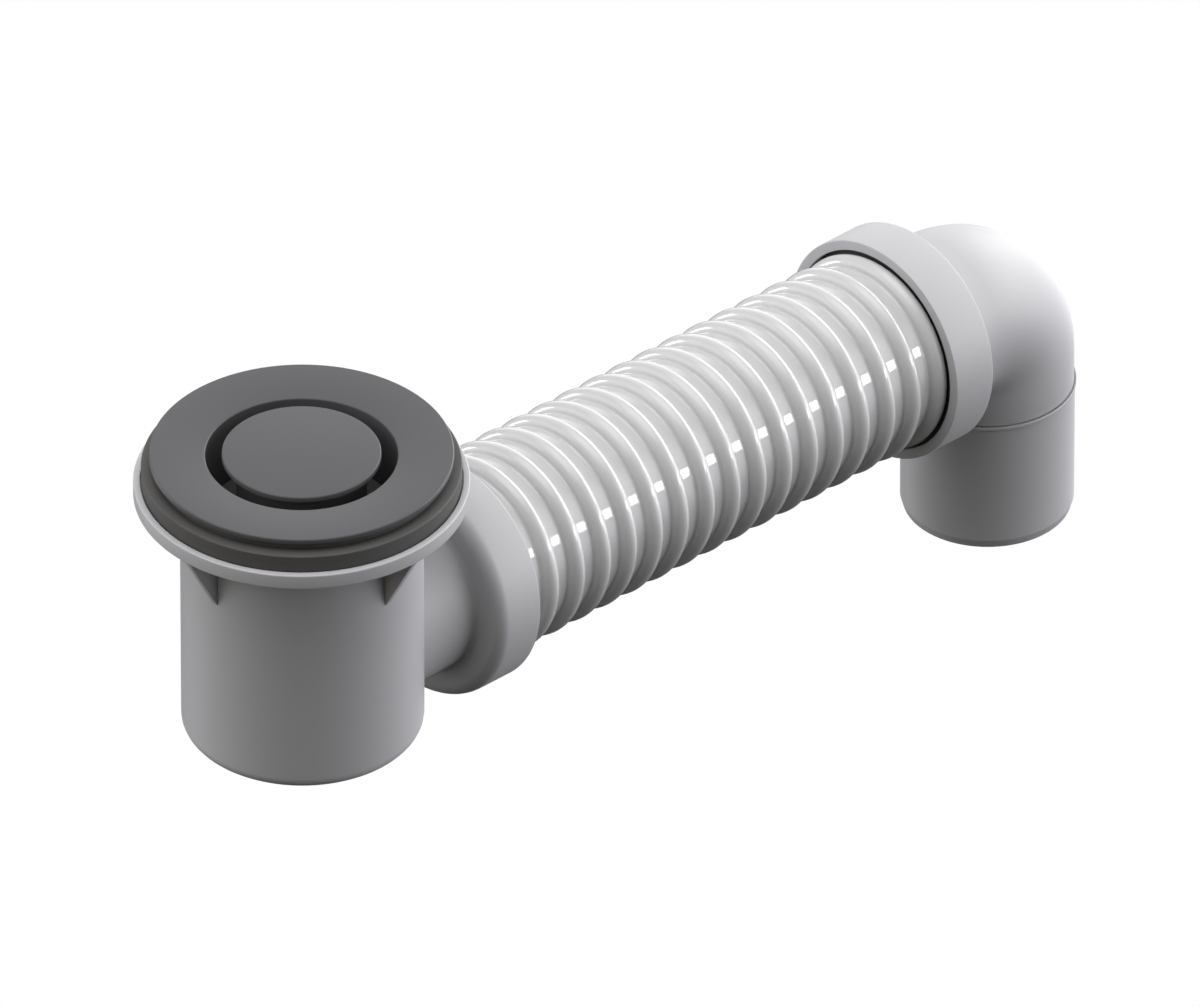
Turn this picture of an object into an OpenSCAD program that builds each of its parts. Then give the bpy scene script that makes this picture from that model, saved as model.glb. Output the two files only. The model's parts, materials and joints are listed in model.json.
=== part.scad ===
// Bath pop-up waste with a ringed hose and an outlet elbow.
// The origin is on the axis of the waste, on the plane where the bath floor is clamped.
// +Z points up into the bath, and the hose leaves towards +X, falling a little.

/* [Top flange] */
// Outer radius of the ring that shows in the bath
flange_r = 34.4; // [33.6:0.1:37]
// Thickness of the ring at its outer edge
flange_rim = 1.3; // [1.1:0.1:2.5]
// How far the ring dips from its outer edge to the slot
flange_dip = 0.64; // [0.2:0.02:1]
// Radius of the well inside the ring
well_r = 21.7; // [20.5:0.1:22.4]
// Wall of the threaded tail under the ring
tail_wall = 2.2; // [1.9:0.05:2.9]
// Depth of the tail's lower end under the clamp plane
tail_depth = 29; // [27.5:0.5:32]
// Depth of the plug's seat under the clamp plane
seat_depth = 14.6; // [12:0.1:15.4]
// Thickness of the seat
seat_t = 2; // [1.5:0.1:2.4]
// Radius of the hole in the seat
seat_hole_r = 13; // [12.6:0.1:13.8]
// Thickness of each of the four spokes
spoke_t = 3; // [2:0.1:4]
// Height of the spokes and the hub
spoke_h = 6; // [4:0.5:7]
// Radius of the hub
hub_r = 9; // [8.4:0.1:9.6]

/* [Seals under and over the bath floor] */
// Outer radius of the upper seal
upper_seal_r = 33.2; // [31:0.1:33.4]
// Thickness of the upper seal
upper_seal_t = 2.1; // [1.5:0.1:3]
// Outer radius of the lower seal
lower_seal_r = 36.2; // [33:0.1:36.4]
// Thickness of the lower seal
lower_seal_t = 5.06; // [3:0.02:6]
// Depth of the recess that holds the lower seal
seal_recess = 1; // [0.5:0.1:1.5]
// Gap between the tail and the holes of both seals
seal_hole_gap = 0.7; // [0.3:0.1:1.5]

/* [Plug] */
// Radius of the round cap
cap_r = 18; // [17:0.1:19]
// Thickness of the cap
cap_t = 1.4; // [1.2:0.1:2]
// Radius of the black body under the cap
core_r = 14.8; // [14.2:0.1:15.6]
// Wall of the black body
core_wall = 1.8; // [1.2:0.1:2.5]
// Thickness of the rubber ring that closes on the seat
plug_seal_t = 2; // [1.5:0.1:2.5]
// Radius of the spigot that carries the rubber ring
seal_spigot_r = 11; // [10:0.1:11.6]
// Radius of the washer that holds the rubber ring
retainer_r = 12.4; // [11.9:0.1:12.5]
// Thickness of that washer
retainer_t = 1.5; // [1:0.1:2]
// How far the plug rises
plug_travel = 8; // [5:0.5:8]

/* [Click mechanism] */
// Radius of the stem
stem_r = 4; // [3.5:0.1:4.2]
// Radius of the stem's thread in the cap
stem_thread_r = 2.5; // [2:0.1:2.8]
// Radius of the stem's lower end, which carries the rotor
journal_r = 2.4; // [2:0.1:2.6]
// Outer radius of the barrel
barrel_r = 6.9; // [6.8:0.1:7.4]
// Radius of the chamber inside the barrel
chamber_r = 5.6; // [5.5:0.1:5.8]
// Height of the barrel's six-sided collar
barrel_collar_h = 3; // [2:0.5:3]
// Height of the nut under the hub
nut_h = 4; // [3:0.5:6]
// Distance across the flats of the nut and the collar
hex_flats = 17; // [16:0.5:17]
// Height of the rotor
rotor_h = 5; // [4:0.5:6]
// Number of teeth on the rotor
rotor_teeth = 4; // [3:1:6]
// Length of the spring while the plug is down
spring_len = 10; // [9:0.5:14]
// Thickness of the spring's wire
spring_wire = 1; // [0.6:0.1:1.1]
// Number of turns of the spring
spring_turns = 7; // [4:1:8]

/* [Waste body] */
// Radius of the body's flange
body_flange_r = 38; // [37.6:0.1:42]
// Thickness of the body's flange
body_flange_t = 3.7; // [2.5:0.1:6]
// Outer radius of the cup
cup_r = 27.5; // [27:0.1:29]
// Wall of the cup
cup_wall = 2.5; // [1.8:0.1:2.6]
// Depth of the cup's underside below the clamp plane
cup_depth = 71.1; // [69:0.1:76]
// Radius of the cup's rounded foot
cup_foot_round = 3.5; // [1:0.5:4]
// Thickness of each gusset under the flange
gusset_t = 1.8; // [1:0.1:4]
// Height of the gussets
gusset_h = 17.2; // [8:0.1:20]
// Distance from the gusset's outer corner to the flange's edge
gusset_inset = 1.5; // [0.5:0.1:5]

/* [Neck and bell] */
// Depth of the hose's axis below the clamp plane, at the cup's axis
hose_axis_depth = 49.93; // [48:0.01:51]
// Fall of the hose, in degrees
fall = 3; // [0:0.5:4]
// Outer radius of the neck
neck_r = 19.6; // [19:0.1:20]
// Wall of the neck
neck_wall = 2.4; // [1.8:0.1:3]
// Distance from the cup's axis to the bell's shoulder
neck_len = 36; // [32:0.5:50]
// Wall of the bell round its socket
bell_wall = 2.8; // [2.2:0.1:5]
// Depth of the bell's socket
bell_socket = 11.4; // [10.5:0.1:16]
// Wall between the bell's shoulder and its socket
bell_back = 1.6; // [1.2:0.1:3]
// Radius of the bell's rounded shoulder
bell_round = 3; // [1:0.5:4]

/* [Hose] */
// Radius of the hose in its valleys
valley_r = 21.35; // [20.8:0.05:22]
// Height of the rings above the valleys
ring_h = 2.35; // [2.1:0.05:2.5]
// Wall of the hose
hose_wall = 1.3; // [1:0.05:1.4]
// Distance between two crests
hose_pitch = 8.34; // [8:0.01:10]
// Number of rings on the hose
hose_rings = 19; // [6:1:30]
// Radius of each ring's rounded back
ring_round = 2.2; // [2:0.05:2.3]
// Radius of the hollow at the foot of each ring
ring_foot = 0.5; // [0.3:0.05:0.6]
// Plain length from the last crest to the end of the hose
hose_end = 2.85; // [2.8:0.05:4]
// Width of the seal in the valley
ring_seal_w = 2.8; // [2:0.1:2.9]
// Gap between the hose's crests and the bore of both sockets
socket_gap = 0.7; // [0.4:0.05:1]

/* [Elbow] */
// Wall of the elbow's collar round its socket
collar_wall = 2.4; // [1.8:0.1:5]
// Depth of the collar's socket
collar_socket = 10.4; // [9:0.1:14]
// Wall between the socket and the collar's far side
collar_back = 1.5; // [1.2:0.1:3]
// Outer radius of the elbow's tube
elbow_r = 19.8; // [19.4:0.1:20]
// Wall of the elbow
elbow_wall = 2.4; // [1.8:0.1:2.6]
// Radius of the bend's centre line
bend_r = 17; // [15:0.5:19]
// Straight length between the collar and the bend
elbow_lead = 9.4; // [5:0.1:20]
// Length of the elbow below the bend, down to the seam
elbow_drop = 8.08; // [5:0.01:20]
// Length of the elbow's end that sits inside the outlet tube
elbow_plug_len = 11; // [6:0.5:14]
// Wall of that end
elbow_plug_wall = 1.8; // [1.5:0.1:2.2]

/* [Outlet tube] */
// Outer radius of the outlet tube
outlet_r = 20; // [19.8:0.05:20.4]
// Wall of the outlet tube
outlet_wall = 2; // [1.8:0.1:2.2]
// Length of the outlet tube
outlet_len = 34.1; // [20:0.1:80]
// Height of the raised rim at the seam
outlet_rim_h = 1.2; // [0.8:0.1:2.5]
// How far the rim stands out
outlet_rim_out = 0.35; // [0.1:0.05:1]
// Height of the lead-in taper at the tube's open end
outlet_lead_h = 2.2; // [1:0.1:4]
// How far that taper goes in
outlet_lead_in = 0.65; // [0.3:0.05:1]

/* [Clearances] */
// Gap round a thread
thread_gap = 0.1; // [0.02:0.01:0.15]
// Gap round a sliding or turning fit
run_gap = 0.08; // [0.03:0.01:0.1]
// Gap at the ends of the hose
end_gap = 0.25; // [0.1:0.05:1]

/* [Hidden] */
$fn = 96;
edge = 0.3;
chamfer = 1;

dark_metal = [0.40, 0.40, 0.41];
dark_rubber = [0.22, 0.22, 0.21];
black_plastic = [0.08, 0.08, 0.08];
grey_plastic = [0.72, 0.73, 0.74];
white_plastic = [0.92, 0.92, 0.92];
brass_yellow = [0.78, 0.66, 0.38];
bright_steel = [0.75, 0.75, 0.76];

// How far cuts run past the faces that they open, and shapes into those that they join
past = 1;
// The same for a slanted rim
rim_past = 0.1;

// Radii and heights of the top flange
tail_r = well_r + tail_wall;
ring_bottom = upper_seal_t;
ring_top = ring_bottom + flange_rim;
seat_z = -seat_depth;
hub_lift = 2;
hub_bottom = -tail_depth + hub_lift;
hub_top = hub_bottom + spoke_h;
spoke_start = (barrel_r + hub_r) / 2;
spoke_reach = (well_r + tail_r) / 2;
spoke_inset = 0.5;
slot_round = 0.3;
rim_round = 0.35;

// Heights of the plug and its stem
cap_bottom = ring_top - cap_t;
boss_r = 5;
boss_depth = 5;
boss_bottom = cap_bottom - boss_depth;
stem_hole_top = boss_bottom + 0.8 * boss_depth;
stem_top = stem_hole_top - 2 * end_gap;
core_floor = seat_z + plug_seal_t;
core_hub_r = 6.6;
core_floor_t = 2.6;
retainer_bottom = seat_z - retainer_t;

// Heights of the click mechanism: the rotor hangs under the stem's shoulder
barrel_top = hub_top + barrel_collar_h;
guide_len = 5.5;
chamber_top = barrel_top - guide_len;
tooth_h = 2;
tooth_w = 3.2;
rotor_gap = 0.2;
shoulder_z = chamber_top - plug_travel - tooth_h - 2 * end_gap;
rotor_bottom = shoulder_z - rotor_h;
rotor_rim = rotor_bottom + rotor_h - edge;
spring_bottom = rotor_bottom - spring_len;
spring_end_gap = 0.05;
spring_side_gap = 0.6;
end_plug_h = 3;
end_head_h = 1.5;
driver_slot_w = 1.2;
driver_slot_depth = 0.8;
stem_tip_z = spring_bottom + end_plug_h;
barrel_bottom = spring_bottom - end_plug_h;
o_ring_wire = 0.85;
o_ring_z = barrel_top - 2.6;
groove_gap = 0.05;
spring_mean_r = chamber_r - spring_wire / 2 - spring_side_gap;
hex_r = hex_flats / sqrt(3);

// Heights of the waste body
flange_top = seal_recess - lower_seal_t;
flange_bottom = flange_top - body_flange_t;
body_thread_depth = tail_depth + 2;
cup_round = 1;
cup_inner_r = cup_r - cup_wall;
cup_floor = -cup_depth + cup_wall;
seal_hole_r = tail_r + seal_hole_gap;
recess_floor = flange_top - seal_recess;
recess_r = lower_seal_r + 0.2;
gusset_outer_r = body_flange_r - gusset_inset;
gusset_corner_z = flange_bottom - chamfer;

// Radii of the hose and of the sockets that take its ends
crest_r = valley_r + ring_h;
socket_r = crest_r + socket_gap;
bell_r = socket_r + bell_wall;
collar_r = socket_r + collar_wall;

// Places along the hose's axis, measured from the cup's axis
bell_floor = neck_len + bell_back;
bell_rim = bell_floor + bell_socket;
hose_start = bell_floor + end_gap;
first_crest = hose_start + hose_end;
last_crest = first_crest + (hose_rings - 1) * hose_pitch;
hose_stop = last_crest + hose_end;
collar_floor = hose_stop + end_gap;
collar_face = collar_floor - collar_socket;
collar_far = collar_floor + collar_back;
neck_bore_r = neck_r - neck_wall;
neck_start = 0.8 * neck_bore_r;
neck_fillet = 1.6;
neck_bore_start = 0.8 * cup_inner_r;
rim_edge = 0.5;
socket_lead = 0.7;
ring_inside_step = 0.3;
ring_inside_slope = 0.1;

// The elbow: both straight runs would meet at the corner point
bend_angle = 90 - fall;
bend_tangent = bend_r * tan(bend_angle / 2);
bend_start = collar_far + elbow_lead;
corner_s = bend_start + bend_tangent;
corner_x = corner_s * cos(fall);
corner_z = -hose_axis_depth - corner_s * sin(fall);
bend_end_z = corner_z - bend_tangent;
seam_z = bend_end_z - elbow_drop;
outlet_bottom = seam_z - outlet_len;
elbow_bore_r = elbow_r - elbow_wall;
elbow_plug_r = outlet_r - outlet_wall - run_gap;
elbow_plug_end = seam_z - elbow_plug_len;
bend_inset = 0.05;
// How far the elbow's straight runs lap into its bend, so that they join
touch = 0.00000005;
bend_steps = 48;

// Points along an arc round a centre, from one angle to another
function arc(centre, r, from, to, steps = 5) =
    [for (i = [0 : steps]) let (a = from + (to - from) * i / steps)
        centre + r * [cos(a), sin(a)]];

// Turns an outline round the Z axis
module turned(points) rotate_extrude() polygon(points);

// Puts a shape on the hose's axis, with its own Z along the hose
module on_hose_axis() translate([0, 0, -hose_axis_depth]) rotate([0, 90 + fall, 0]) children();

// Plain ring with softened outer edges
module ring(inner_r, outer_r, bottom, top, soft = edge)
    turned([[inner_r, bottom], [outer_r - soft, bottom], [outer_r, bottom + soft],
            [outer_r, top - soft], [outer_r - soft, top], [inner_r, top]]);

// The ring, its well and its threaded tail in one turned outline
module flange_outline()
    turned(concat(
        [[seat_hole_r, seat_z], [seat_hole_r, seat_z - seat_t],
         [well_r, seat_z - seat_t], [well_r, -tail_depth],
         [tail_r - chamfer, -tail_depth], [tail_r, -tail_depth + chamfer],
         [tail_r, ring_bottom], [flange_r - edge, ring_bottom],
         [flange_r, ring_bottom + edge]],
        arc([flange_r - rim_round, ring_top - rim_round], rim_round, 0, 90),
        arc([well_r + slot_round, ring_top - flange_dip - slot_round], slot_round, 90, 180, 3),
        [[well_r, seat_z]]));

module top_flange() color(dark_metal) difference() {
    union() {
        flange_outline();
        translate([0, 0, hub_bottom]) cylinder(r = hub_r, h = spoke_h);
        for (turn = [45 : 90 : 315])
            rotate([0, 0, turn]) translate([spoke_start, -spoke_t / 2, hub_bottom + spoke_inset])
                cube([spoke_reach - spoke_start, spoke_t, spoke_h - 2 * spoke_inset]);
    }
    translate([0, 0, hub_bottom - past]) cylinder(r = barrel_r + thread_gap, h = spoke_h + 2 * past);
}

module upper_seal() color(dark_rubber) ring(seal_hole_r, upper_seal_r, 0, ring_bottom);

module lower_seal() color(dark_rubber) ring(seal_hole_r, lower_seal_r, -lower_seal_t, 0);

module plug_cap() color(dark_metal)
    turned(concat(
        [[0, ring_top], [0, stem_hole_top], [stem_thread_r, stem_hole_top],
         [stem_thread_r, boss_bottom], [boss_r, boss_bottom],
         [boss_r, cap_bottom], [cap_r - edge, cap_bottom], [cap_r, cap_bottom + edge]],
        arc([cap_r - rim_round, ring_top - rim_round], rim_round, 0, 90)));

module plug_core() color(black_plastic)
    turned([[stem_thread_r, seat_z], [seal_spigot_r, seat_z], [seal_spigot_r, core_floor],
            [core_r, core_floor], [core_r, cap_bottom], [core_r - core_wall, cap_bottom],
            [core_r - core_wall, core_floor + core_floor_t],
            [core_hub_r, core_floor + core_floor_t], [core_hub_r, cap_bottom],
            [boss_r, cap_bottom], [boss_r, boss_bottom], [stem_thread_r, boss_bottom]]);

module plug_seal() color(dark_rubber) ring(seal_spigot_r, core_r, seat_z, core_floor);

module seal_retainer() color(bright_steel) ring(stem_thread_r, retainer_r, retainer_bottom, seat_z);

// Threaded end in the cap, rod through the barrel, journal for the rotor
module plug_stem() color(bright_steel)
    turned([[0, stem_top], [0, stem_tip_z], [journal_r - edge, stem_tip_z],
            [journal_r, stem_tip_z + edge], [journal_r, shoulder_z], [stem_r, shoulder_z],
            [stem_r, retainer_bottom], [stem_thread_r, retainer_bottom],
            [stem_thread_r, stem_top]]);

module cartridge_barrel() color(brass_yellow) difference() {
    union() {
        translate([0, 0, barrel_bottom]) cylinder(r = barrel_r, h = barrel_top - barrel_bottom);
        translate([0, 0, hub_top]) cylinder(r = hex_r, h = barrel_collar_h, $fn = 6);
    }
    translate([0, 0, barrel_bottom - past])
        cylinder(r = chamber_r, h = chamber_top - barrel_bottom + past);
    translate([0, 0, chamber_top - past])
        cylinder(r = stem_r + run_gap, h = guide_len + 2 * past);
    translate([0, 0, o_ring_z - o_ring_wire - groove_gap])
        cylinder(r = stem_r + run_gap + 2 * o_ring_wire + groove_gap,
                 h = 2 * (o_ring_wire + groove_gap));
}

module stem_o_ring() color(black_plastic)
    rotate_extrude() translate([stem_r + run_gap + o_ring_wire, o_ring_z])
        circle(r = o_ring_wire, $fn = 24);

module barrel_nut() color(brass_yellow) difference() {
    translate([0, 0, hub_bottom - nut_h]) cylinder(r = hex_r, h = nut_h, $fn = 6);
    translate([0, 0, hub_bottom - nut_h - past])
        cylinder(r = barrel_r + thread_gap, h = nut_h + 2 * past);
}

// Cam ring with slanted teeth that turns on the stem's journal
module latch_rotor() color(white_plastic) {
    rotor_r = chamber_r - rotor_gap;
    tooth_inner_r = stem_r + rotor_gap;
    difference() {
        translate([0, 0, rotor_bottom]) cylinder(r = rotor_r, h = rotor_h - edge);
        translate([0, 0, rotor_bottom - past])
            cylinder(r = journal_r + run_gap, h = rotor_h + 2 * past);
    }
    intersection() {
        difference() {
            translate([0, 0, rotor_bottom]) cylinder(r = rotor_r, h = rotor_h + tooth_h);
            translate([0, 0, rotor_bottom - past])
                cylinder(r = tooth_inner_r, h = rotor_h + tooth_h + 2 * past);
        }
        for (i = [0 : rotor_teeth - 1])
            rotate([0, 0, i * 360 / rotor_teeth]) rotate([90, 0, 90])
                linear_extrude(rotor_r + past)
                    polygon([[-tooth_w / 2, rotor_rim - edge], [tooth_w / 2, rotor_rim - edge],
                             [tooth_w / 2, rotor_rim + tooth_h]]);
    }
}

// Round wire wound on a helix between the end cap and the rotor
module return_spring() {
    sides = 6;
    steps = spring_turns * 16;
    rise = spring_len - spring_wire - 2 * spring_end_gap;
    start = spring_bottom + spring_wire / 2 + spring_end_gap;
    function wire_point(i, k) =
        let (turn = 360 * spring_turns * i / steps, side = 360 * k / sides,
             r = spring_mean_r + spring_wire / 2 * cos(side))
        [r * cos(turn), r * sin(turn), start + rise * i / steps + spring_wire / 2 * sin(side)];
    points = [for (i = [0 : steps]) for (k = [0 : sides - 1]) wire_point(i, k)];
    walls = [for (i = [0 : steps - 1]) for (k = [0 : sides - 1])
        let (a = i * sides + k, b = i * sides + (k + 1) % sides)
        [a, a + sides, b + sides, b]];
    caps = [[for (k = [0 : sides - 1]) k], [for (k = [sides - 1 : -1 : 0]) steps * sides + k]];
    color(bright_steel) polyhedron(points, concat(walls, caps));
}

module barrel_end_cap() color(brass_yellow) difference() {
    union() {
        translate([0, 0, barrel_bottom - end_head_h]) cylinder(r = barrel_r, h = end_head_h);
        translate([0, 0, barrel_bottom - end_head_h / 2])
            cylinder(r = chamber_r - run_gap, h = end_plug_h + end_head_h / 2);
    }
    translate([-barrel_r - past, -driver_slot_w / 2, barrel_bottom - end_head_h - past])
        cube([2 * (barrel_r + past), driver_slot_w, driver_slot_depth + past]);
}

// Outside of the cup and its flange, as one solid outline
module cup_outside()
    turned(concat(
        [[0, flange_top], [0, -cup_depth]],
        arc([cup_r - cup_foot_round, -cup_depth + cup_foot_round], cup_foot_round, -90, 0, 8),
        arc([cup_r + cup_round, flange_bottom - cup_round], cup_round, 180, 90),
        [[body_flange_r - edge, flange_bottom], [body_flange_r, flange_bottom + edge]],
        arc([body_flange_r - edge, flange_top - edge], edge, 0, 90, 3)));

// Hollow of the cup, with the recess for the lower seal at its mouth
module cup_hollow()
    turned([[0, cup_floor], [cup_inner_r - chamfer, cup_floor], [cup_inner_r, cup_floor + chamfer],
            [cup_inner_r, -body_thread_depth - chamfer], [tail_r + thread_gap, -body_thread_depth],
            [tail_r + thread_gap, recess_floor], [recess_r, recess_floor],
            [recess_r, flange_top + past], [0, flange_top + past]]);

module gusset()
    rotate([90, 0, 0]) translate([0, 0, -gusset_t / 2]) linear_extrude(gusset_t)
        polygon([[cup_r - past, flange_bottom + past], [gusset_outer_r, flange_bottom + past],
                 [gusset_outer_r, gusset_corner_z],
                 [cup_r, flange_bottom - gusset_h], [cup_r - past, flange_bottom - gusset_h]]);

// Neck and bell, solid, standing on the hose's axis
module neck_outside()
    turned(concat(
        [[0, neck_start], [neck_r, neck_start]],
        arc([neck_r + neck_fillet, neck_len - neck_fillet], neck_fillet, 180, 90),
        arc([bell_r - bell_round, neck_len + bell_round], bell_round, -90, 0, 6),
        [[bell_r, bell_rim - rim_edge], [bell_r - rim_edge, bell_rim], [0, bell_rim]]));

// Bore of the neck, opening into the bell's socket with a slanted rim
module neck_hollow()
    turned([[0, neck_bore_start], [neck_bore_r, neck_bore_start], [neck_bore_r, bell_floor],
            [socket_r, bell_floor], [socket_r, bell_rim + rim_past - socket_lead],
            [socket_r + socket_lead, bell_rim + rim_past], [0, bell_rim + rim_past]]);

// Cup with its flange and gussets, open towards the neck
module waste_body() color(grey_plastic) difference() {
    union() {
        cup_outside();
        for (turn = [0 : 90 : 270]) rotate([0, 0, turn]) gusset();
    }
    cup_hollow();
    on_hose_axis() neck_hollow();
}

// Neck and bell, moulded in one with the cup: a node of their own, cut to the cup's outer wall
module body_neck() color(grey_plastic) difference() {
    on_hose_axis() neck_outside();
    cup_outside();
    translate([0, 0, -cup_depth - neck_r]) cylinder(r = cup_r - cup_foot_round, h = neck_r);
    on_hose_axis() neck_hollow();
}

// Outer outline of one ring of the hose: hollow foot, round back, hollow foot
function ring_back(crest) =
    let (top = [crest_r - ring_round, crest], reach = ring_round + ring_foot,
         lift = asin((valley_r + ring_foot - top[0]) / ring_round))
    concat([[valley_r, crest - reach]],
           [[valley_r + ring_foot * (1 - cos(45)), crest - reach + ring_foot * sin(45)]],
           arc(top, ring_round, lift - 90, 90 - lift, 8),
           [[valley_r + ring_foot * (1 - cos(45)), crest + reach - ring_foot * sin(45)]],
           [[valley_r, crest + reach]]);

// Inner outline of one ring, from its far side to its near side
function ring_inside(crest) =
    let (foot = ring_round - ring_inside_step, r = valley_r - hose_wall,
         back = ring_round - hose_wall - ring_inside_slope)
    [[r, crest + foot], [crest_r - hose_wall, crest + back],
     [crest_r - hose_wall, crest - back], [r, crest - foot]];

module flexible_hose() color(white_plastic) on_hose_axis()
    turned(concat(
        [[valley_r - hose_wall, hose_start], [valley_r, hose_start]],
        [for (i = [0 : hose_rings - 1]) each ring_back(first_crest + i * hose_pitch)],
        [[valley_r, hose_stop], [valley_r - hose_wall, hose_stop]],
        [for (i = [hose_rings - 1 : -1 : 0]) each ring_inside(first_crest + i * hose_pitch)]));

// Rubber ring that fills the valley between two crests
module valley_seal(place) on_hose_axis()
    ring(valley_r, socket_r - run_gap, place - ring_seal_w / 2, place + ring_seal_w / 2);

module hose_inlet_seal() color(dark_rubber) valley_seal(first_crest + hose_pitch / 2);

module hose_outlet_seal() color(dark_rubber) valley_seal(last_crest - hose_pitch / 2);

// Round run of one radius: along the hose's axis, round the bend and down to a height.
// The run is wider than the bend's centre line, so its section stops at the bend's own axis,
// and the bend stays a hair inside the straight runs that it joins.
module bent_run(r, from_s, to_z) {
    inside = r - bend_inset;
    cut = acos(-min(1, bend_r / inside));
    on_hose_axis() translate([0, 0, from_s]) cylinder(r = r, h = bend_start + touch - from_s);
    translate([corner_x - bend_r, 0, bend_end_z]) rotate([90, 0, 0])
        rotate_extrude(angle = bend_angle)
            polygon(arc([bend_r, 0], inside, -cut, cut, bend_steps));
    translate([corner_x, 0, to_z]) cylinder(r = r, h = bend_end_z + touch - to_z);
}

module elbow_collar()
    turned([[0, collar_face], [collar_r - rim_edge, collar_face], [collar_r, collar_face + rim_edge],
            [collar_r, collar_far - rim_edge], [collar_r - rim_edge, collar_far], [0, collar_far]]);

// Socket in the collar, with a slanted rim
module elbow_socket()
    turned([[0, collar_face - rim_past], [socket_r + socket_lead, collar_face - rim_past],
            [socket_r, collar_face - rim_past + socket_lead], [socket_r, collar_floor], [0, collar_floor]]);

module elbow() color(grey_plastic) difference() {
    union() {
        on_hose_axis() elbow_collar();
        bent_run(elbow_r, collar_far - collar_back / 2, seam_z);
        translate([corner_x, 0, elbow_plug_end]) cylinder(r = elbow_plug_r, h = elbow_plug_len + past);
    }
    on_hose_axis() elbow_socket();
    bent_run(elbow_bore_r, collar_floor - past, bend_end_z - past);
    translate([corner_x, 0, elbow_plug_end - past])
        cylinder(r = elbow_plug_r - elbow_plug_wall, h = bend_end_z + past - elbow_plug_end);
}

module outlet_tube() color(grey_plastic) translate([corner_x, 0, 0])
    turned([[outlet_r - outlet_wall, seam_z], [outlet_r - outlet_wall, outlet_bottom],
            [outlet_r - outlet_lead_in, outlet_bottom], [outlet_r, outlet_bottom + outlet_lead_h],
            [outlet_r, seam_z - outlet_rim_h],
            [outlet_r + outlet_rim_out, seam_z - outlet_rim_h + outlet_rim_out],
            [outlet_r + outlet_rim_out, seam_z - outlet_rim_out], [outlet_r, seam_z]]);

top_flange();
upper_seal();
lower_seal();
waste_body();
body_neck();
plug_cap();
plug_core();
plug_seal();
seal_retainer();
plug_stem();
cartridge_barrel();
stem_o_ring();
barrel_nut();
latch_rotor();
return_spring();
barrel_end_cap();
flexible_hose();
hose_inlet_seal();
hose_outlet_seal();
elbow();
outlet_tube();
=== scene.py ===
# Bath pop-up waste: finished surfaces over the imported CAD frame.
# Sizes are in millimetres up to new_object, which turns them into metres.
import json
import math

import bmesh
import bpy
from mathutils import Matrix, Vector


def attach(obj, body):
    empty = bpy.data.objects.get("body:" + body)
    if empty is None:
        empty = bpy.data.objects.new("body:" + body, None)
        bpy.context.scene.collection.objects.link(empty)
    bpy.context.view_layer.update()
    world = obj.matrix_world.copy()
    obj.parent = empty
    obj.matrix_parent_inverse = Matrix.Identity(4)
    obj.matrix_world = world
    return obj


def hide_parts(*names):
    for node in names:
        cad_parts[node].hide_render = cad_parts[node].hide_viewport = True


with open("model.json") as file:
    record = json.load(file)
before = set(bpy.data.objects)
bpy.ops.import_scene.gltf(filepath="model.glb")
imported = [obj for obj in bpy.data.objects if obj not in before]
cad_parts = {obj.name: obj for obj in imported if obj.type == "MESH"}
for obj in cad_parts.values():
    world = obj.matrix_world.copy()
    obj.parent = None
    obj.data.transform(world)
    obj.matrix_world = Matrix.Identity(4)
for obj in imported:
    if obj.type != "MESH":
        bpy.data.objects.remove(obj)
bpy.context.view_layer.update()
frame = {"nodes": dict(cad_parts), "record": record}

MM = 0.001

# Driving sizes of the ring, its seat and its hub
FLANGE_R = 34.4
FLANGE_RIM = 1.3
FLANGE_DIP = 0.64
WELL_R = 21.7
TAIL_WALL = 2.2
TAIL_DEPTH = 29
SEAT_DEPTH = 14.6
SEAT_T = 2
SEAT_HOLE_R = 13
SPOKE_T = 3
SPOKE_H = 6
SPOKE_INSET = 0.5
HUB_R = 9
HUB_LIFT = 2
BARREL_R = 6.9

# Seals and plug
UPPER_SEAL_R = 33.2
UPPER_SEAL_T = 2.1
LOWER_SEAL_R = 36.2
LOWER_SEAL_T = 5.06
SEAL_RECESS = 1
SEAL_RECESS_GAP = 0.2
SEAL_HOLE_GAP = 0.7
CAP_R = 18
CAP_T = 1.4
CAP_BOSS_R = 5
CAP_BOSS_DEPTH = 5
CAP_HOLE_R = 2.5
CAP_HOLE_STOP = 1

# Waste body
BODY_FLANGE_R = 37.98
BODY_FLANGE_T = 3.7
CUP_R = 27.5
CUP_WALL = 2.5
CUP_DEPTH = 71.1
CUP_FOOT_ROUND = 3.5
CUP_ROUND = 1
THREAD_BELOW_TAIL = 2
GUSSET_T = 1.8
GUSSET_H = 17.2
GUSSET_INSET = 1.5
GUSSET_EDGE = 0.15
NECK_R = 19.6
NECK_WALL = 2.4
NECK_LEN = 36
BELL_WALL = 2.8
BELL_SOCKET = 11.4
BELL_BACK = 1.6
BELL_ROUND = 3
NECK_FILLET = 1.6

# Hose
FALL = math.radians(3)
HOSE_AXIS_DEPTH = 49.93
VALLEY_R = 21.35
RING_H = 2.35
HOSE_WALL = 1.3
HOSE_PITCH = 8.34
HOSE_RINGS = 19
RING_ROUND = 2.2
RING_FOOT = 0.5
HOSE_END = 2.85
VALLEY_STEP = 0.1
GROOVE_FOOT_IN = 0.3
GROOVE_FLOOR_IN = 0.1
SOCKET_GAP = 0.7
END_GAP = 0.25

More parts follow.
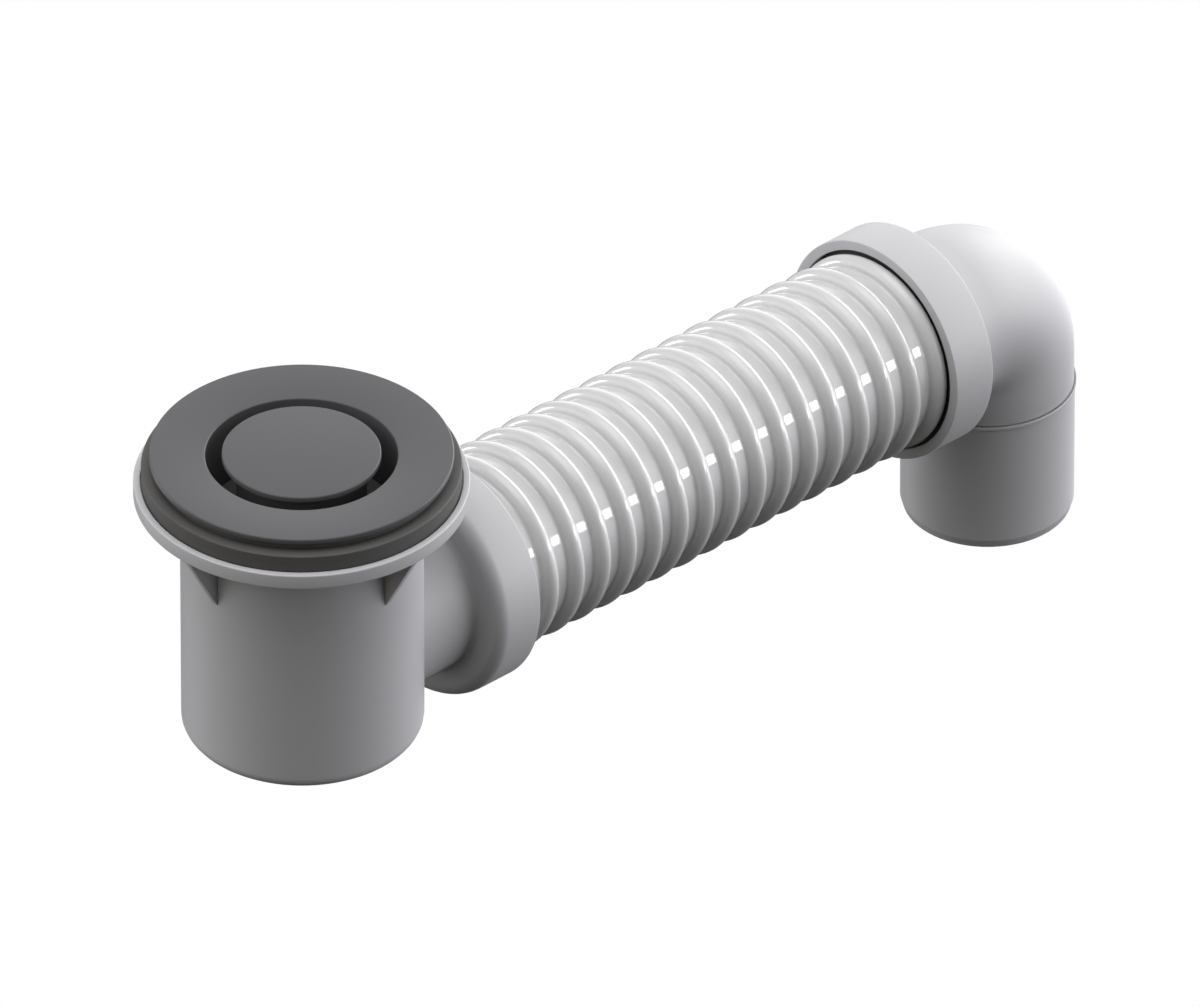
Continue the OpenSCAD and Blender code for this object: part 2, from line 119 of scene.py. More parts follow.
# Elbow and outlet tube
COLLAR_WALL = 2.4
COLLAR_SOCKET = 10.4
COLLAR_BACK = 1.5
ELBOW_R = 19.8
ELBOW_WALL = 2.4
BEND_R = 17
ELBOW_LEAD = 9.4
ELBOW_DROP = 8.08
ELBOW_PLUG_LEN = 11
ELBOW_PLUG_GAP = 0.08
ELBOW_PLUG_WALL = 1.8
ELBOW_TAPER_H = 1
OUTLET_R = 20
OUTLET_WALL = 2
OUTLET_LEN = 34.1
OUTLET_RIM_H = 1.2
OUTLET_RIM_OUT = 0.35
OUTLET_LEAD_H = 2.2
OUTLET_LEAD_IN = 0.65
SEAM_GROOVE = 0.35

# Finish of the edges
CHAMFER = 1
TINY_EDGE = 0.1
FINE_EDGE = 0.2
SOFT_EDGE = 0.35
RIM_EDGE = 0.5
SOCKET_LEAD = 0.7
THREAD_GAP = 0.1
SMOOTH_ANGLE = math.radians(32)

# How finely the skins are divided, and how near two points are to be one
FINE_TURN, MIDDLE_TURN, COARSE_TURN = 160, 128, 96
ARC_STEPS = 6
NECK_ARC_STEPS = 10
PLUG_ARC_STEPS = 4
CREST_STEPS = 20
BEND_STEPS = 40
BEVEL_STEPS = 3
WELD = 0.001

# Heights worked out from the driving sizes
RING_BOTTOM = UPPER_SEAL_T
RING_TOP = RING_BOTTOM + FLANGE_RIM
TAIL_R = WELL_R + TAIL_WALL
SEAT_Z = -SEAT_DEPTH
HUB_BOTTOM = HUB_LIFT - TAIL_DEPTH
CAP_BOTTOM = RING_TOP - CAP_T
FLANGE_TOP = SEAL_RECESS - LOWER_SEAL_T
FLANGE_BOTTOM = FLANGE_TOP - BODY_FLANGE_T
RECESS_FLOOR = FLANGE_TOP - SEAL_RECESS
THREAD_DEPTH = TAIL_DEPTH + THREAD_BELOW_TAIL

# Radii and places along the hose's axis, measured from the axis of the waste
CREST_R = VALLEY_R + RING_H
SOCKET_R = CREST_R + SOCKET_GAP
BELL_R = SOCKET_R + BELL_WALL
COLLAR_R = SOCKET_R + COLLAR_WALL
NECK_BORE_R = NECK_R - NECK_WALL
NECK_START = CUP_R / 2
BELL_FLOOR = NECK_LEN + BELL_BACK
BELL_RIM = BELL_FLOOR + BELL_SOCKET
HOSE_START = BELL_FLOOR + END_GAP
FIRST_CREST = HOSE_START + HOSE_END
LAST_CREST = FIRST_CREST + (HOSE_RINGS - 1) * HOSE_PITCH
HOSE_STOP = LAST_CREST + HOSE_END
COLLAR_FLOOR = HOSE_STOP + END_GAP
COLLAR_FACE = COLLAR_FLOOR - COLLAR_SOCKET
COLLAR_FAR = COLLAR_FLOOR + COLLAR_BACK

# Elbow and outlet. The elbow's two straight runs would meet at the corner
ELBOW_PLUG_R = OUTLET_R - OUTLET_WALL - ELBOW_PLUG_GAP
BEND_ANGLE = math.pi / 2 - FALL
BEND_TANGENT = BEND_R * math.tan(BEND_ANGLE / 2)
BEND_START = COLLAR_FAR + ELBOW_LEAD
CORNER_X = (BEND_START + BEND_TANGENT) * math.cos(FALL)
CORNER_Z = -HOSE_AXIS_DEPTH - (BEND_START + BEND_TANGENT) * math.sin(FALL)
BEND_END_Z = CORNER_Z - BEND_TANGENT
SEAM_Z = BEND_END_Z - ELBOW_DROP
OUTLET_BOTTOM = SEAM_Z - OUTLET_LEN

# Directions of the hose
ALONG = Vector((math.cos(FALL), 0, -math.sin(FALL)))
ABOVE = Vector((math.sin(FALL), 0, math.cos(FALL)))
SIDE = Vector((0, 1, 0))
HOSE_ORIGIN = Vector((0, 0, -HOSE_AXIS_DEPTH))


# Outlines: lists of (r, z) points
def arc(centre, radius, start, stop, steps=ARC_STEPS):
    """Points of an arc in an outline, from one angle to another, in degrees."""
    angles = (math.radians(start + (stop - start) * i / steps) for i in range(steps + 1))
    return [(centre[0] + radius * math.cos(a), centre[1] + radius * math.sin(a)) for a in angles]


def rounded(corners, steps=ARC_STEPS):
    """An outline through (r, z, rounding) corners, with an arc in place of each rounded one."""
    points = []
    count = len(corners)
    for i, (r, z, radius) in enumerate(corners):
        if radius <= 0:
            points.append((r, z))
            continue
        here = Vector((r, z))
        before = (Vector(corners[i - 1][:2]) - here).normalized()
        after = (Vector(corners[(i + 1) % count][:2]) - here).normalized()
        half = before.angle(after) / 2
        centre = here + (before + after).normalized() * (radius / math.sin(half))
        start = here + before * (radius / math.tan(half)) - centre
        stop = here + after * (radius / math.tan(half)) - centre
        turn = -start.angle_signed(stop)
        for k in range(steps + 1):
            c, s = math.cos(turn * k / steps), math.sin(turn * k / steps)
            points.append((centre.x + start.x * c - start.y * s,
                           centre.y + start.x * s + start.y * c))
    return points


# Skins: a list of points and a list of faces
def skin(rows, closed=True):
    """A skin over rows of points. Each row is a loop, and the last row may join the first."""
    count = len(rows[0])
    faces = []
    for i in range(len(rows) if closed else len(rows) - 1):
        a, b = i * count, (i + 1) % len(rows) * count
        faces += [(a + k, a + (k + 1) % count, b + (k + 1) % count, b + k) for k in range(count)]
    return [point for row in rows for point in row], faces


def turned(outline, segments=FINE_TURN, place=None, closed=True):
    """The skin of an outline turned round Z. An open outline starts and ends on the axis."""
    turns = [2 * math.pi * k / segments for k in range(segments)]
    rows = [[Vector((r * math.cos(a), r * math.sin(a), z)) for a in turns] for r, z in outline]
    return skin([[place(point) for point in row] for row in rows] if place else rows, closed)


def block(low, high, place):
    """The skin of a box between two corners, put in its place."""
    points = [Vector((x, y, z)) for z in (low[2], high[2])
              for x, y in ((low[0], low[1]), (high[0], low[1]), (high[0], high[1]), (low[0], high[1]))]
    faces = [(0, 1, 2, 3), (4, 5, 6, 7), (0, 1, 5, 4), (1, 2, 6, 5), (2, 3, 7, 6), (3, 0, 4, 7)]
    return [place(point) for point in points], faces


def quarter_turns(start=0):
    """Four turns round Z, a quarter apart, each as a function of a point."""
    def turn(angle):
        c, s = math.cos(angle), math.sin(angle)
        return lambda p: Vector((p.x * c - p.y * s, p.x * s + p.y * c, p.z))
    return [turn(start + i * math.pi / 2) for i in range(4)]


def on_hose_axis(point):
    """Takes a point of a turned piece, with its own Z along the hose, to the hose's axis."""
    return HOSE_ORIGIN + ALONG * point.z + SIDE * point.x + ABOVE * point.y


def on_outlet_axis(point):
    """Takes a point of a turned piece from the axis of the waste to the outlet's."""
    return Vector((CORNER_X + point.x, point.y, point.z))


# Objects
def new_object(name, *skins):
    """One object from several skins, in metres, with its faces turned outward."""
    work = bmesh.new()
    for points, faces in skins:
        corners = [work.verts.new(Vector(point) * MM) for point in points]
        for face in faces:
            work.faces.new([corners[k] for k in face])
    bmesh.ops.remove_doubles(work, verts=work.verts, dist=WELD * MM)
    bmesh.ops.recalc_face_normals(work, faces=work.faces)
    mesh = bpy.data.meshes.new(name)
    work.to_mesh(mesh)
    work.free()
    piece = bpy.data.objects.new(name, mesh)
    bpy.context.scene.collection.objects.link(piece)
    return piece


def applied(piece):
    """The piece with its modifiers worked into its mesh."""
    shape = piece.evaluated_get(bpy.context.evaluated_depsgraph_get())
    piece.data = bpy.data.meshes.new_from_object(shape)
    piece.modifiers.clear()
    return piece


def carved(piece, tool):
    """The piece cut by a tool, which is used up."""
    cut = piece.modifiers.new("cut", "BOOLEAN")
    cut.operation = "DIFFERENCE"
    cut.solver = "EXACT"
    cut.object = tool
    applied(piece)
    bpy.data.objects.remove(tool)
    return piece


def bevelled(piece, width):
    """The piece with its sharp edges rounded off."""
    edge = piece.modifiers.new("edge", "BEVEL")
    edge.width = width * MM
    edge.segments = BEVEL_STEPS
    edge.limit_method = "ANGLE"
    return applied(piece)


def joined(name, *pieces):
    """One object from several, which are used up."""
    work = bmesh.new()
    for piece in pieces:
        work.from_mesh(piece.data)
        bpy.data.objects.remove(piece)
    whole = new_object(name)
    work.to_mesh(whole.data)
    work.free()
    return whole


# Materials
CLOUD_SCALE, CLOUD_DETAIL = 18, 3
GRAIN_DETAIL = 4
RELIEF = 0.05


def surface(slot, colour, other, roughness, spread, grain, bump, sockets):
    """A moulded or turned surface: two close colours in soft clouds, uneven gloss and a fine grain."""
    material = bpy.data.materials.new("finish_" + slot)
    material.use_nodes = True
    nodes, links = material.node_tree.nodes, material.node_tree.links
    shader = nodes["Principled BSDF"]
    where = nodes.new("ShaderNodeTexCoord")
    clouds = nodes.new("ShaderNodeTexNoise")
    clouds.inputs["Scale"].default_value = CLOUD_SCALE
    clouds.inputs["Detail"].default_value = CLOUD_DETAIL
    links.new(where.outputs["Object"], clouds.inputs["Vector"])
    tint = nodes.new("ShaderNodeMix")
    tint.data_type = "RGBA"
    tint.inputs["A"].default_value = (*colour, 1)
    tint.inputs["B"].default_value = (*other, 1)
    links.new(clouds.outputs["Fac"], tint.inputs["Factor"])
    links.new(tint.outputs["Result"], shader.inputs["Base Color"])
    fine = nodes.new("ShaderNodeTexNoise")
    fine.inputs["Scale"].default_value = grain
    fine.inputs["Detail"].default_value = GRAIN_DETAIL
    links.new(where.outputs["Object"], fine.inputs["Vector"])
    gloss = nodes.new("ShaderNodeMapRange")
    gloss.inputs["To Min"].default_value = roughness - spread
    gloss.inputs["To Max"].default_value = roughness + spread
    links.new(fine.outputs["Fac"], gloss.inputs["Value"])
    links.new(gloss.outputs["Result"], shader.inputs["Roughness"])
    relief = nodes.new("ShaderNodeBump")
    relief.inputs["Strength"].default_value = bump
    relief.inputs["Distance"].default_value = RELIEF * MM
    links.new(fine.outputs["Fac"], relief.inputs["Height"])
    links.new(relief.outputs["Normal"], shader.inputs["Normal"])
    for socket, value in sockets.items():
        shader.inputs[socket].default_value = value
    return material


# Each finish: two close colours, roughness and its spread, scale and strength of the grain, other sockets
FINISHES = {
    "ring_metal": ((0.100, 0.101, 0.104), (0.095, 0.096, 0.099), 0.38, 0.04, 2600, 0.06,
                   {"Specular IOR Level": 0.15}),
    "seal_rubber": ((0.090, 0.088, 0.084), (0.082, 0.080, 0.077), 0.62, 0.06, 1800, 0.25,
                    {"Specular IOR Level": 0.2}),
    "black_plastic": ((0.130, 0.130, 0.130), (0.120, 0.120, 0.120), 0.42, 0.05, 1500, 0.15, {}),
    "grey_plastic": ((0.480, 0.482, 0.492), (0.460, 0.462, 0.470), 0.50, 0.05, 1600, 0.10,
                     {"Specular IOR Level": 0.32}),
    "hose_plastic": ((0.600, 0.600, 0.593), (0.580, 0.580, 0.573), 0.05, 0.01, 400, 0.01, {}),
    "cam_plastic": ((0.750, 0.750, 0.700), (0.700, 0.700, 0.660), 0.35, 0.05, 1500, 0.10, {}),
    "brass": ((0.600, 0.420, 0.160), (0.520, 0.360, 0.130), 0.30, 0.06, 1800, 0.12,
              {"Metallic": 1.0}),
    "steel": ((0.560, 0.560, 0.570), (0.500, 0.500, 0.510), 0.28, 0.06, 1800, 0.10,
              {"Metallic": 1.0}),
}
MATERIALS = {slot: surface(slot, *finish) for slot, finish in FINISHES.items()}


def dress(piece, slot):
    """Gives the piece the finish of a slot, in place of any it had."""
    piece.data.materials.clear()
    piece.data.materials.append(MATERIALS[slot])


def finish_piece(piece, body, slot, *nodes):
    """Puts a new piece on its body, smooth and with its finish, in place of the nodes named."""
    for face in piece.data.polygons:
        face.use_smooth = True
    piece.data.set_sharp_from_angle(angle=SMOOTH_ANGLE)
    dress(piece, slot)
    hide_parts(*nodes)
    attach(piece, body)


# Every CAD node gets the finish of its slot, so the hidden pieces need nothing else
for row in frame["record"]["subparts"]:
    dress(frame["nodes"][row["node"]], row["material_slot"])


# Ring, plug and seals
def top_ring():
    """The ring with its well, tail and seat, and the hub on four spokes."""
    ring = turned(rounded(
        [(SEAT_HOLE_R, SEAT_Z, FINE_EDGE), (SEAT_HOLE_R, SEAT_Z - SEAT_T, FINE_EDGE),
         (WELL_R, SEAT_Z - SEAT_T, 0), (WELL_R, -TAIL_DEPTH, 0), (TAIL_R - CHAMFER, -TAIL_DEPTH, 0),
         (TAIL_R, -TAIL_DEPTH + CHAMFER, 0), (TAIL_R, RING_BOTTOM, 0), (FLANGE_R, RING_BOTTOM, FINE_EDGE),
         (FLANGE_R, RING_TOP, SOFT_EDGE), (WELL_R, RING_TOP - FLANGE_DIP, SOFT_EDGE), (WELL_R, SEAT_Z, 0)]))
    bore = BARREL_R + THREAD_GAP
    hub = turned([(bore, HUB_BOTTOM), (HUB_R, HUB_BOTTOM), (HUB_R, HUB_BOTTOM + SPOKE_H),
                  (bore, HUB_BOTTOM + SPOKE_H)], COARSE_TURN)
    spokes = [block(((BARREL_R + HUB_R) / 2, -SPOKE_T / 2, HUB_BOTTOM + SPOKE_INSET),
                    ((WELL_R + TAIL_R) / 2, SPOKE_T / 2, HUB_BOTTOM + SPOKE_H - SPOKE_INSET), turn)
              for turn in quarter_turns(math.pi / 4)]
    return new_object("ring_skin", ring, hub, *spokes)


def cap():
    """The plug's cap, with the boss under it that the stem screws into."""
    boss_end = CAP_BOTTOM - CAP_BOSS_DEPTH
    hole_top = CAP_BOTTOM - CAP_HOLE_STOP
    outline = rounded(
        [(0, RING_TOP, 0), (CAP_R, RING_TOP, SOFT_EDGE), (CAP_R, CAP_BOTTOM, FINE_EDGE),
         (CAP_BOSS_R, CAP_BOTTOM, 0), (CAP_BOSS_R, boss_end, 0), (CAP_HOLE_R, boss_end, 0),
         (CAP_HOLE_R, hole_top, 0), (0, hole_top, 0)])
    return new_object("cap_skin", turned(outline, closed=False))


def seal(name, outer_r, bottom, top):
    """A flat seal round the ring's tail, with soft outer edges."""
    hole_r = TAIL_R + SEAL_HOLE_GAP
    return new_object(name, turned(rounded([(hole_r, bottom, 0), (outer_r, bottom, SOFT_EDGE),
                                            (outer_r, top, SOFT_EDGE), (hole_r, top, 0)])))


finish_piece(top_ring(), "waste", "ring_metal", "top_flange")
finish_piece(cap(), "plug", "ring_metal", "plug_cap")
finish_piece(seal("upper_seal_skin", UPPER_SEAL_R, 0, RING_BOTTOM),
             "waste", "seal_rubber", "upper_seal")
finish_piece(seal("lower_seal_skin", LOWER_SEAL_R, -LOWER_SEAL_T, 0),
             "waste", "seal_rubber", "lower_seal")


# Waste body: one skin over the nodes waste_body and body_neck
def cup():
    """The cup with its flange, open at the neck's bore."""
    inner = CUP_R - CUP_WALL
    recess = LOWER_SEAL_R + SEAL_RECESS_GAP
    thread = TAIL_R + THREAD_GAP
    shape = new_object("cup", turned(rounded(
        [(0, -CUP_DEPTH, 0), (CUP_R, -CUP_DEPTH, CUP_FOOT_ROUND), (CUP_R, FLANGE_BOTTOM, CUP_ROUND),
         (BODY_FLANGE_R, FLANGE_BOTTOM, SOFT_EDGE), (BODY_FLANGE_R, FLANGE_TOP, SOFT_EDGE),
         (recess, FLANGE_TOP, FINE_EDGE), (recess, RECESS_FLOOR, 0), (thread, RECESS_FLOOR, 0),
         (thread, -THREAD_DEPTH, 0), (inner, -THREAD_DEPTH - CHAMFER, 0),
         (inner, -CUP_DEPTH + CUP_WALL, CHAMFER), (0, -CUP_DEPTH + CUP_WALL, 0)]), closed=False))
    bore = [(0, NECK_START), (NECK_BORE_R, NECK_START), (NECK_BORE_R, NECK_LEN), (0, NECK_LEN)]
    return carved(shape, new_object("bore", turned(bore, MIDDLE_TURN, on_hose_axis, closed=False)))


def neck():
    """The neck with its bell, cut where the cup's skin takes over."""
    outline = rounded(
        [(NECK_R, NECK_START, 0), (NECK_R, NECK_LEN, NECK_FILLET), (BELL_R, NECK_LEN, BELL_ROUND),
         (BELL_R, BELL_RIM, RIM_EDGE), (SOCKET_R + SOCKET_LEAD, BELL_RIM, TINY_EDGE),
         (SOCKET_R, BELL_RIM - SOCKET_LEAD, TINY_EDGE), (SOCKET_R, BELL_FLOOR, 0),
         (NECK_BORE_R, BELL_FLOOR, 0), (NECK_BORE_R, NECK_START, 0)], NECK_ARC_STEPS)
    shape = new_object("neck", turned(outline, place=on_hose_axis))
    middle = CUP_R - CUP_WALL / 2
    foot = CUP_R - CUP_FOOT_ROUND
    core = [(0, -CUP_DEPTH - NECK_R), (foot, -CUP_DEPTH - NECK_R), (foot, -CUP_DEPTH + CUP_WALL / 4),
            (middle, -CUP_DEPTH + CUP_FOOT_ROUND), (middle, 0), (0, 0)]
    return carved(shape, new_object("core", turned(core, closed=False)))


def gussets():
    """Four flat ribs under the flange, a quarter turn apart."""
    inner = CUP_R - CUP_WALL / 2
    outer = BODY_FLANGE_R - GUSSET_INSET
    top = FLANGE_BOTTOM + CHAMFER
    outline = [(inner, top), (outer, top), (outer, FLANGE_BOTTOM - CHAMFER),
               (CUP_R, FLANGE_BOTTOM - GUSSET_H), (inner, FLANGE_BOTTOM - GUSSET_H)]
    count = len(outline)
    faces = [tuple(range(count)), tuple(range(count, 2 * count))]
    faces += [(k, (k + 1) % count, count + (k + 1) % count, count + k) for k in range(count)]
    points = [Vector((r, side * GUSSET_T / 2, z)) for side in (-1, 1) for r, z in outline]
    ribs = [([turn(point) for point in points], faces) for turn in quarter_turns()]
    return bevelled(new_object("gussets", *ribs), GUSSET_EDGE)


finish_piece(joined("body_skin", cup(), neck(), gussets()),
             "waste", "grey_plastic", "waste_body", "body_neck")


# Hose
def hose():
    """Round rings on a straight tube, each with a groove behind it on the inside."""
    inner = VALLEY_R - HOSE_WALL
    groove = CREST_R - HOSE_WALL
    outline = [(inner, HOSE_START), (VALLEY_R, HOSE_START)]
    centre_r = CREST_R - RING_ROUND
    lift = math.degrees(math.asin((VALLEY_R + RING_FOOT - centre_r) / RING_ROUND))
    reach = RING_ROUND + RING_FOOT
    crests = [FIRST_CREST + i * HOSE_PITCH for i in range(HOSE_RINGS)]
    for crest in crests:
        outline += [(VALLEY_R, crest - reach - VALLEY_STEP)]
        outline += arc((VALLEY_R + RING_FOOT, crest - reach), RING_FOOT, 180, 90)
        outline += arc((centre_r, crest), RING_ROUND, lift - 90, 90 - lift, CREST_STEPS)
        outline += arc((VALLEY_R + RING_FOOT, crest + reach), RING_FOOT, 270, 180)
        outline += [(VALLEY_R, crest + reach + VALLEY_STEP)]
    outline += [(VALLEY_R, HOSE_STOP), (inner, HOSE_STOP)]
    foot = RING_ROUND - GROOVE_FOOT_IN
    back = RING_ROUND - HOSE_WALL - GROOVE_FLOOR_IN
    for crest in reversed(crests):
        outline += [(inner, crest + foot), (groove, crest + back),
                    (groove, crest - back), (inner, crest - foot)]
    return new_object("hose_skin", turned(outline, COARSE_TURN, on_hose_axis))


finish_piece(hose(), "waste", "hose_plastic", "flexible_hose")


# Elbow: every line of the skin runs from the collar, round the bend, to the end inside the tube
def elbow_point(part, place, r, turn):
    """A point of the elbow's skin. Turn 0 is the outside of the bend, and lines that would pass
    the bend's centre on its inside meet on the mitre between the two runs."""
    across, side = r * math.cos(turn), r * math.sin(turn)
    if part == "hose":
        return HOSE_ORIGIN + ALONG * place + ABOVE * across + SIDE * side
    if part == "drop":
        return Vector((CORNER_X + across, side, place))
    centre = Vector((CORNER_X - BEND_R, side, BEND_END_Z))
    if BEND_R + across <= 0:
        middle = Vector((math.cos(BEND_ANGLE / 2), 0, math.sin(BEND_ANGLE / 2)))
        return centre + middle * (BEND_R + across) / math.cos(BEND_ANGLE / 2)
    angle = BEND_ANGLE * (1 - place)
    return centre + Vector((math.cos(angle), 0, math.sin(angle))) * (BEND_R + across)


def elbow():
    """The collar, the bend and the end that goes into the outlet tube."""
    collar = rounded(
        [(SOCKET_R, COLLAR_FLOOR, 0), (SOCKET_R, COLLAR_FACE, FINE_EDGE),
         (COLLAR_R, COLLAR_FACE, FINE_EDGE), (COLLAR_R, COLLAR_FAR, RIM_EDGE),
         (ELBOW_R, COLLAR_FAR, SOFT_EDGE), (ELBOW_R, BEND_START, 0)])
    stations = [("hose", s, r) for r, s in collar]
    stations += [("bend", i / BEND_STEPS, ELBOW_R) for i in range(1, BEND_STEPS)]
    bore = ELBOW_R - ELBOW_WALL
    plug_bore = ELBOW_PLUG_R - ELBOW_PLUG_WALL
    plug_end = SEAM_Z - ELBOW_PLUG_LEN
    stations += [("drop", z, r) for r, z in rounded(
        [(ELBOW_R, BEND_END_Z, 0), (ELBOW_R, SEAM_Z, FINE_EDGE), (ELBOW_PLUG_R, SEAM_Z, 0),
         (ELBOW_PLUG_R, plug_end, SOFT_EDGE), (plug_bore, plug_end, SOFT_EDGE),
         (plug_bore, BEND_END_Z - ELBOW_TAPER_H, 0), (bore, BEND_END_Z, 0)], PLUG_ARC_STEPS)]
    stations += [("bend", 1 - i / BEND_STEPS, bore) for i in range(1, BEND_STEPS)]
    stations += [("hose", BEND_START, bore), ("hose", COLLAR_FLOOR, bore)]
    turns = [2 * math.pi * k / MIDDLE_TURN for k in range(MIDDLE_TURN)]
    rows = [[elbow_point(part, place, r, turn) for turn in turns] for part, place, r in stations]
    return new_object("elbow_skin", skin(rows))


def outlet():
    """The tube. Its top is hollowed a little round the elbow's end, which leaves a dark seam."""
    bore = OUTLET_R - OUTLET_WALL
    rim = OUTLET_R + OUTLET_RIM_OUT
    outline = rounded(
        [(bore, SEAM_Z - SEAM_GROOVE, 0), (bore, OUTLET_BOTTOM, SOFT_EDGE),
         (OUTLET_R - OUTLET_LEAD_IN, OUTLET_BOTTOM, FINE_EDGE),
         (OUTLET_R, OUTLET_BOTTOM + OUTLET_LEAD_H, TINY_EDGE),
         (OUTLET_R, SEAM_Z - OUTLET_RIM_H, FINE_EDGE),
         (rim, SEAM_Z - OUTLET_RIM_H + OUTLET_RIM_OUT, TINY_EDGE),
         (rim, SEAM_Z, TINY_EDGE), (ELBOW_R, SEAM_Z - SEAM_GROOVE, 0)])
    return new_object("outlet_skin", turned(outline, MIDDLE_TURN, on_outlet_axis))


finish_piece(elbow(), "outlet", "grey_plastic", "elbow")
finish_piece(outlet(), "outlet", "grey_plastic", "outlet_tube")


# Camera: a long lens from the photograph's isometric direction. From here on lengths are in metres
PHOTO_W = 1200
PIXELS_PER_METRE = 4403
LENS, SENSOR = 1300, 36
CLIP_START = 1
VIEW = Vector((1, 1, -1)).normalized()
TARGET = Vector((95.16, 0.18, -58.56)) * MM
DISTANCE = PHOTO_W / PIXELS_PER_METRE * LENS / SENSOR
camera = bpy.data.objects.new("camera", bpy.data.cameras.new("camera"))
bpy.context.scene.collection.objects.link(camera)
camera.data.lens = LENS
camera.data.sensor_width = SENSOR
camera.data.clip_start = CLIP_START
camera.data.clip_end = 2 * DISTANCE
camera.location = TARGET - VIEW * DISTANCE
camera.rotation_mode = "QUATERNION"
camera.rotation_quaternion = VIEW.to_track_quat("-Z", "Y")
bpy.context.scene.camera = camera


# Light: soft patches over a faint fill, placed as seen from the camera's side
FRONT = Vector((-1, -1, 0)).normalized()
RIGHT = Vector((1, -1, 0)).normalized()
UP = Vector((0, 0, 1))
FILL = 0.035

# Each patch: turn to the camera's right, height and half width in degrees, brightness, colour
NEUTRAL, COOL, WARM = (1, 1, 1), (1, 0.99, 1.04), (1, 0.92, 0.6)
PATCHES = {
    "overhead": (0, 90, 38, 3.3, NEUTRAL),
    "upper_left": (300, 48, 40, 1.5, COOL),
    "right": (84, 10, 40, 2.3, COOL),
    "back_right": (135, 12, 40, 2.3, NEUTRAL),
    "back": (180, 12, 35, 1.9, NEUTRAL),
    "left": (270, 12, 35, 1.6, COOL),
    "front_left": (315, 12, 35, 0.3, WARM),
    "low_back_left": (240, -20, 30, 1.3, NEUTRAL),
    "low_back_right": (156, -18, 22, 3.2, COOL),
    "low_right": (118, -14, 28, 1.8, COOL),
}


def toward(turn, height):
    """The direction at a turn to the right of the camera and a height above the horizon."""
    turn, height = math.radians(turn), math.radians(height)
    return (FRONT * math.cos(turn) + RIGHT * math.sin(turn)) * math.cos(height) + UP * math.sin(height)


def studio_world():
    """The sum of the patches, bright in the middle and fading out. The camera sees plain white."""
    world = bpy.data.worlds.new("studio")
    world.use_nodes = True
    nodes, links = world.node_tree.nodes, world.node_tree.links
    where = nodes.new("ShaderNodeTexCoord")
    total = nodes.new("ShaderNodeVectorMath")
    total.inputs[0].default_value = (FILL, FILL, FILL)
    for turn, height, half, brightness, colour in PATCHES.values():
        nearness = nodes.new("ShaderNodeVectorMath")
        nearness.operation = "DOT_PRODUCT"
        nearness.inputs[1].default_value = toward(turn, height)
        links.new(where.outputs["Generated"], nearness.inputs[0])
        glow = nodes.new("ShaderNodeMapRange")
        glow.interpolation_type = "SMOOTHSTEP"
        glow.inputs["From Min"].default_value = math.cos(math.radians(half))
        glow.inputs["To Max"].default_value = brightness
        links.new(nearness.outputs["Value"], glow.inputs["Value"])
        tinted = nodes.new("ShaderNodeVectorMath")
        tinted.operation = "SCALE"
        tinted.inputs[0].default_value = colour
        links.new(glow.outputs["Result"], tinted.inputs["Scale"])
        adder = nodes.new("ShaderNodeVectorMath")
        links.new(total.outputs["Vector"], adder.inputs[0])
        links.new(tinted.outputs["Vector"], adder.inputs[1])
        total = adder
    lit = nodes["Background"]
    links.new(total.outputs["Vector"], lit.inputs["Color"])
    seen = nodes.new("ShaderNodeBackground")
    seen.inputs["Color"].default_value = (1, 1, 1, 1)
    ray = nodes.new("ShaderNodeLightPath")
    choice = nodes.new("ShaderNodeMixShader")
    links.new(ray.outputs["Is Camera Ray"], choice.inputs["Fac"])
    links.new(lit.outputs["Background"], choice.inputs[1])
    links.new(seen.outputs["Background"], choice.inputs[2])
    links.new(choice.outputs["Shader"], nodes["World Output"].inputs["Surface"])
    bpy.context.scene.world = world


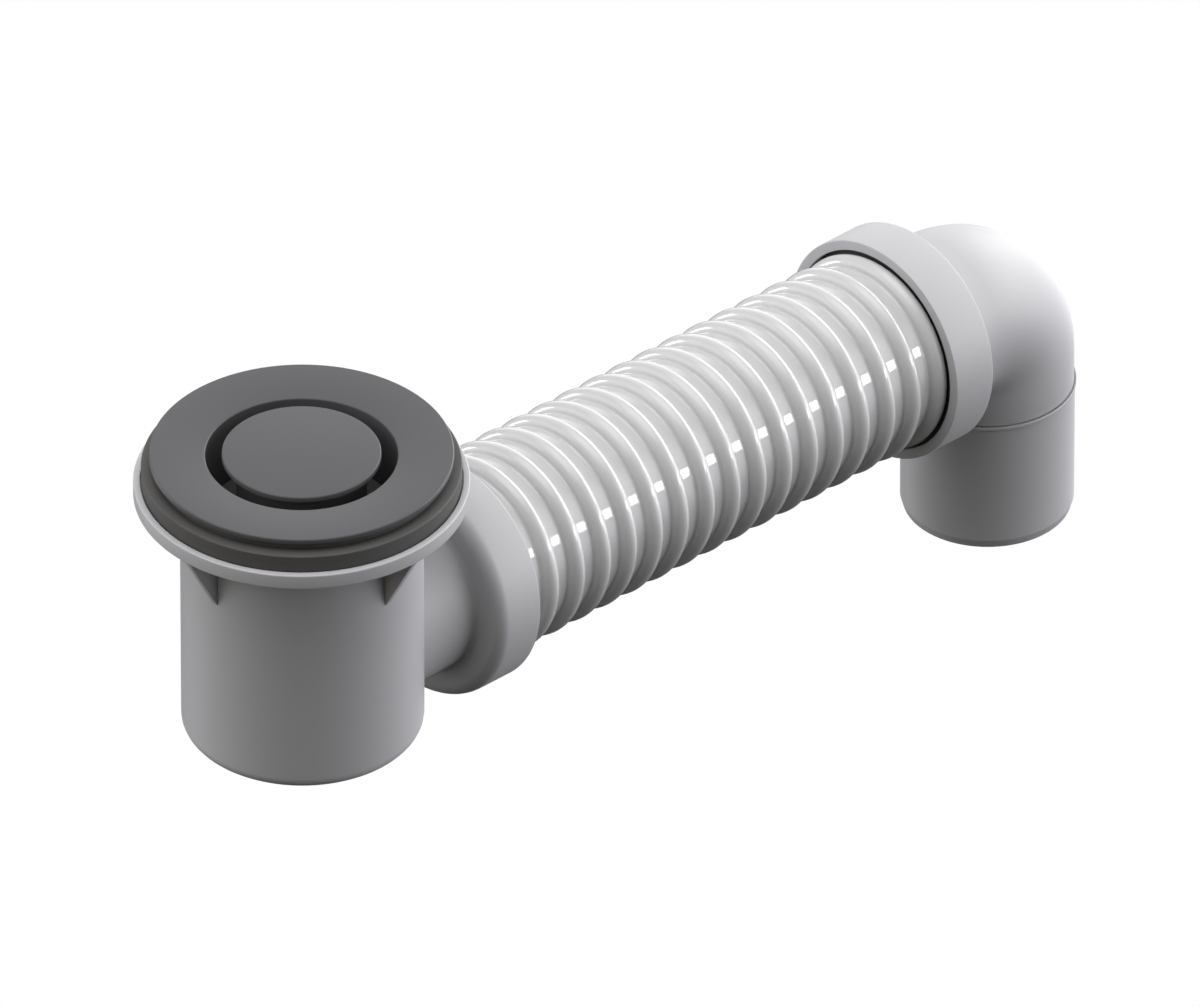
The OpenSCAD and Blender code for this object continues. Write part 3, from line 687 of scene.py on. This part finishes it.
# Each soft box: turn to the right, lower edge, upper edge and width in degrees, brightness
SOFT_BOXES = {
    "right_window": (81, 6, 15, 16, 14),
    "left_window": (247, -8, 10, 13, 9),
    "far_window": (132, 12, 30, 56, 7),
    "side_window": (101, -10, 13, 11, 7),
}
SOFT_BOX_AWAY = 1.2


def soft_box(name, turn, low, high, width, brightness):
    """A rectangle of light that shows only in reflections, sized as seen from the object."""
    middle = toward(turn, (low + high) / 2)
    lamp = bpy.data.lights.new(name, "AREA")
    lamp.shape = "RECTANGLE"
    lamp.size = 2 * SOFT_BOX_AWAY * math.tan(math.radians(width / 2))
    lamp.size_y = 2 * SOFT_BOX_AWAY * math.tan(math.radians((high - low) / 2))
    lamp.energy = brightness * math.pi * lamp.size * lamp.size_y
    holder = bpy.data.objects.new(name, lamp)
    bpy.context.scene.collection.objects.link(holder)
    holder.location = TARGET + middle * SOFT_BOX_AWAY
    holder.rotation_mode = "QUATERNION"
    holder.rotation_quaternion = middle.to_track_quat("Z", "Y")
    holder.visible_diffuse = False


studio_world()
for box, values in SOFT_BOXES.items():
    soft_box(box, *values)
bpy.context.scene.view_settings.view_transform = "Standard"


# Floor, in millimetres again
FLOOR_HALF = 4000
FLOOR_DROP = 1
FLOOR_Z = OUTLET_BOTTOM - FLOOR_DROP


def pale_floor():
    """A plain pale floor under the outlet tube, which sends no light back up."""
    corners = [(x * FLOOR_HALF, y * FLOOR_HALF, FLOOR_Z)
               for x, y in ((-1, -1), (1, -1), (1, 1), (-1, 1))]
    floor = new_object("floor", (corners, [(0, 1, 2, 3)]))
    material = bpy.data.materials.new("floor_white")
    material.use_nodes = True
    shader = material.node_tree.nodes["Principled BSDF"]
    shader.inputs["Base Color"].default_value = (0, 0, 0, 1)
    shader.inputs["Specular IOR Level"].default_value = 0
    shader.inputs["Emission Color"].default_value = (1, 1, 1, 1)
    shader.inputs["Emission Strength"].default_value = 1.0
    floor.data.materials.append(material)
    floor.visible_diffuse = False
    floor.visible_glossy = False
    floor.visible_shadow = False


pale_floor()
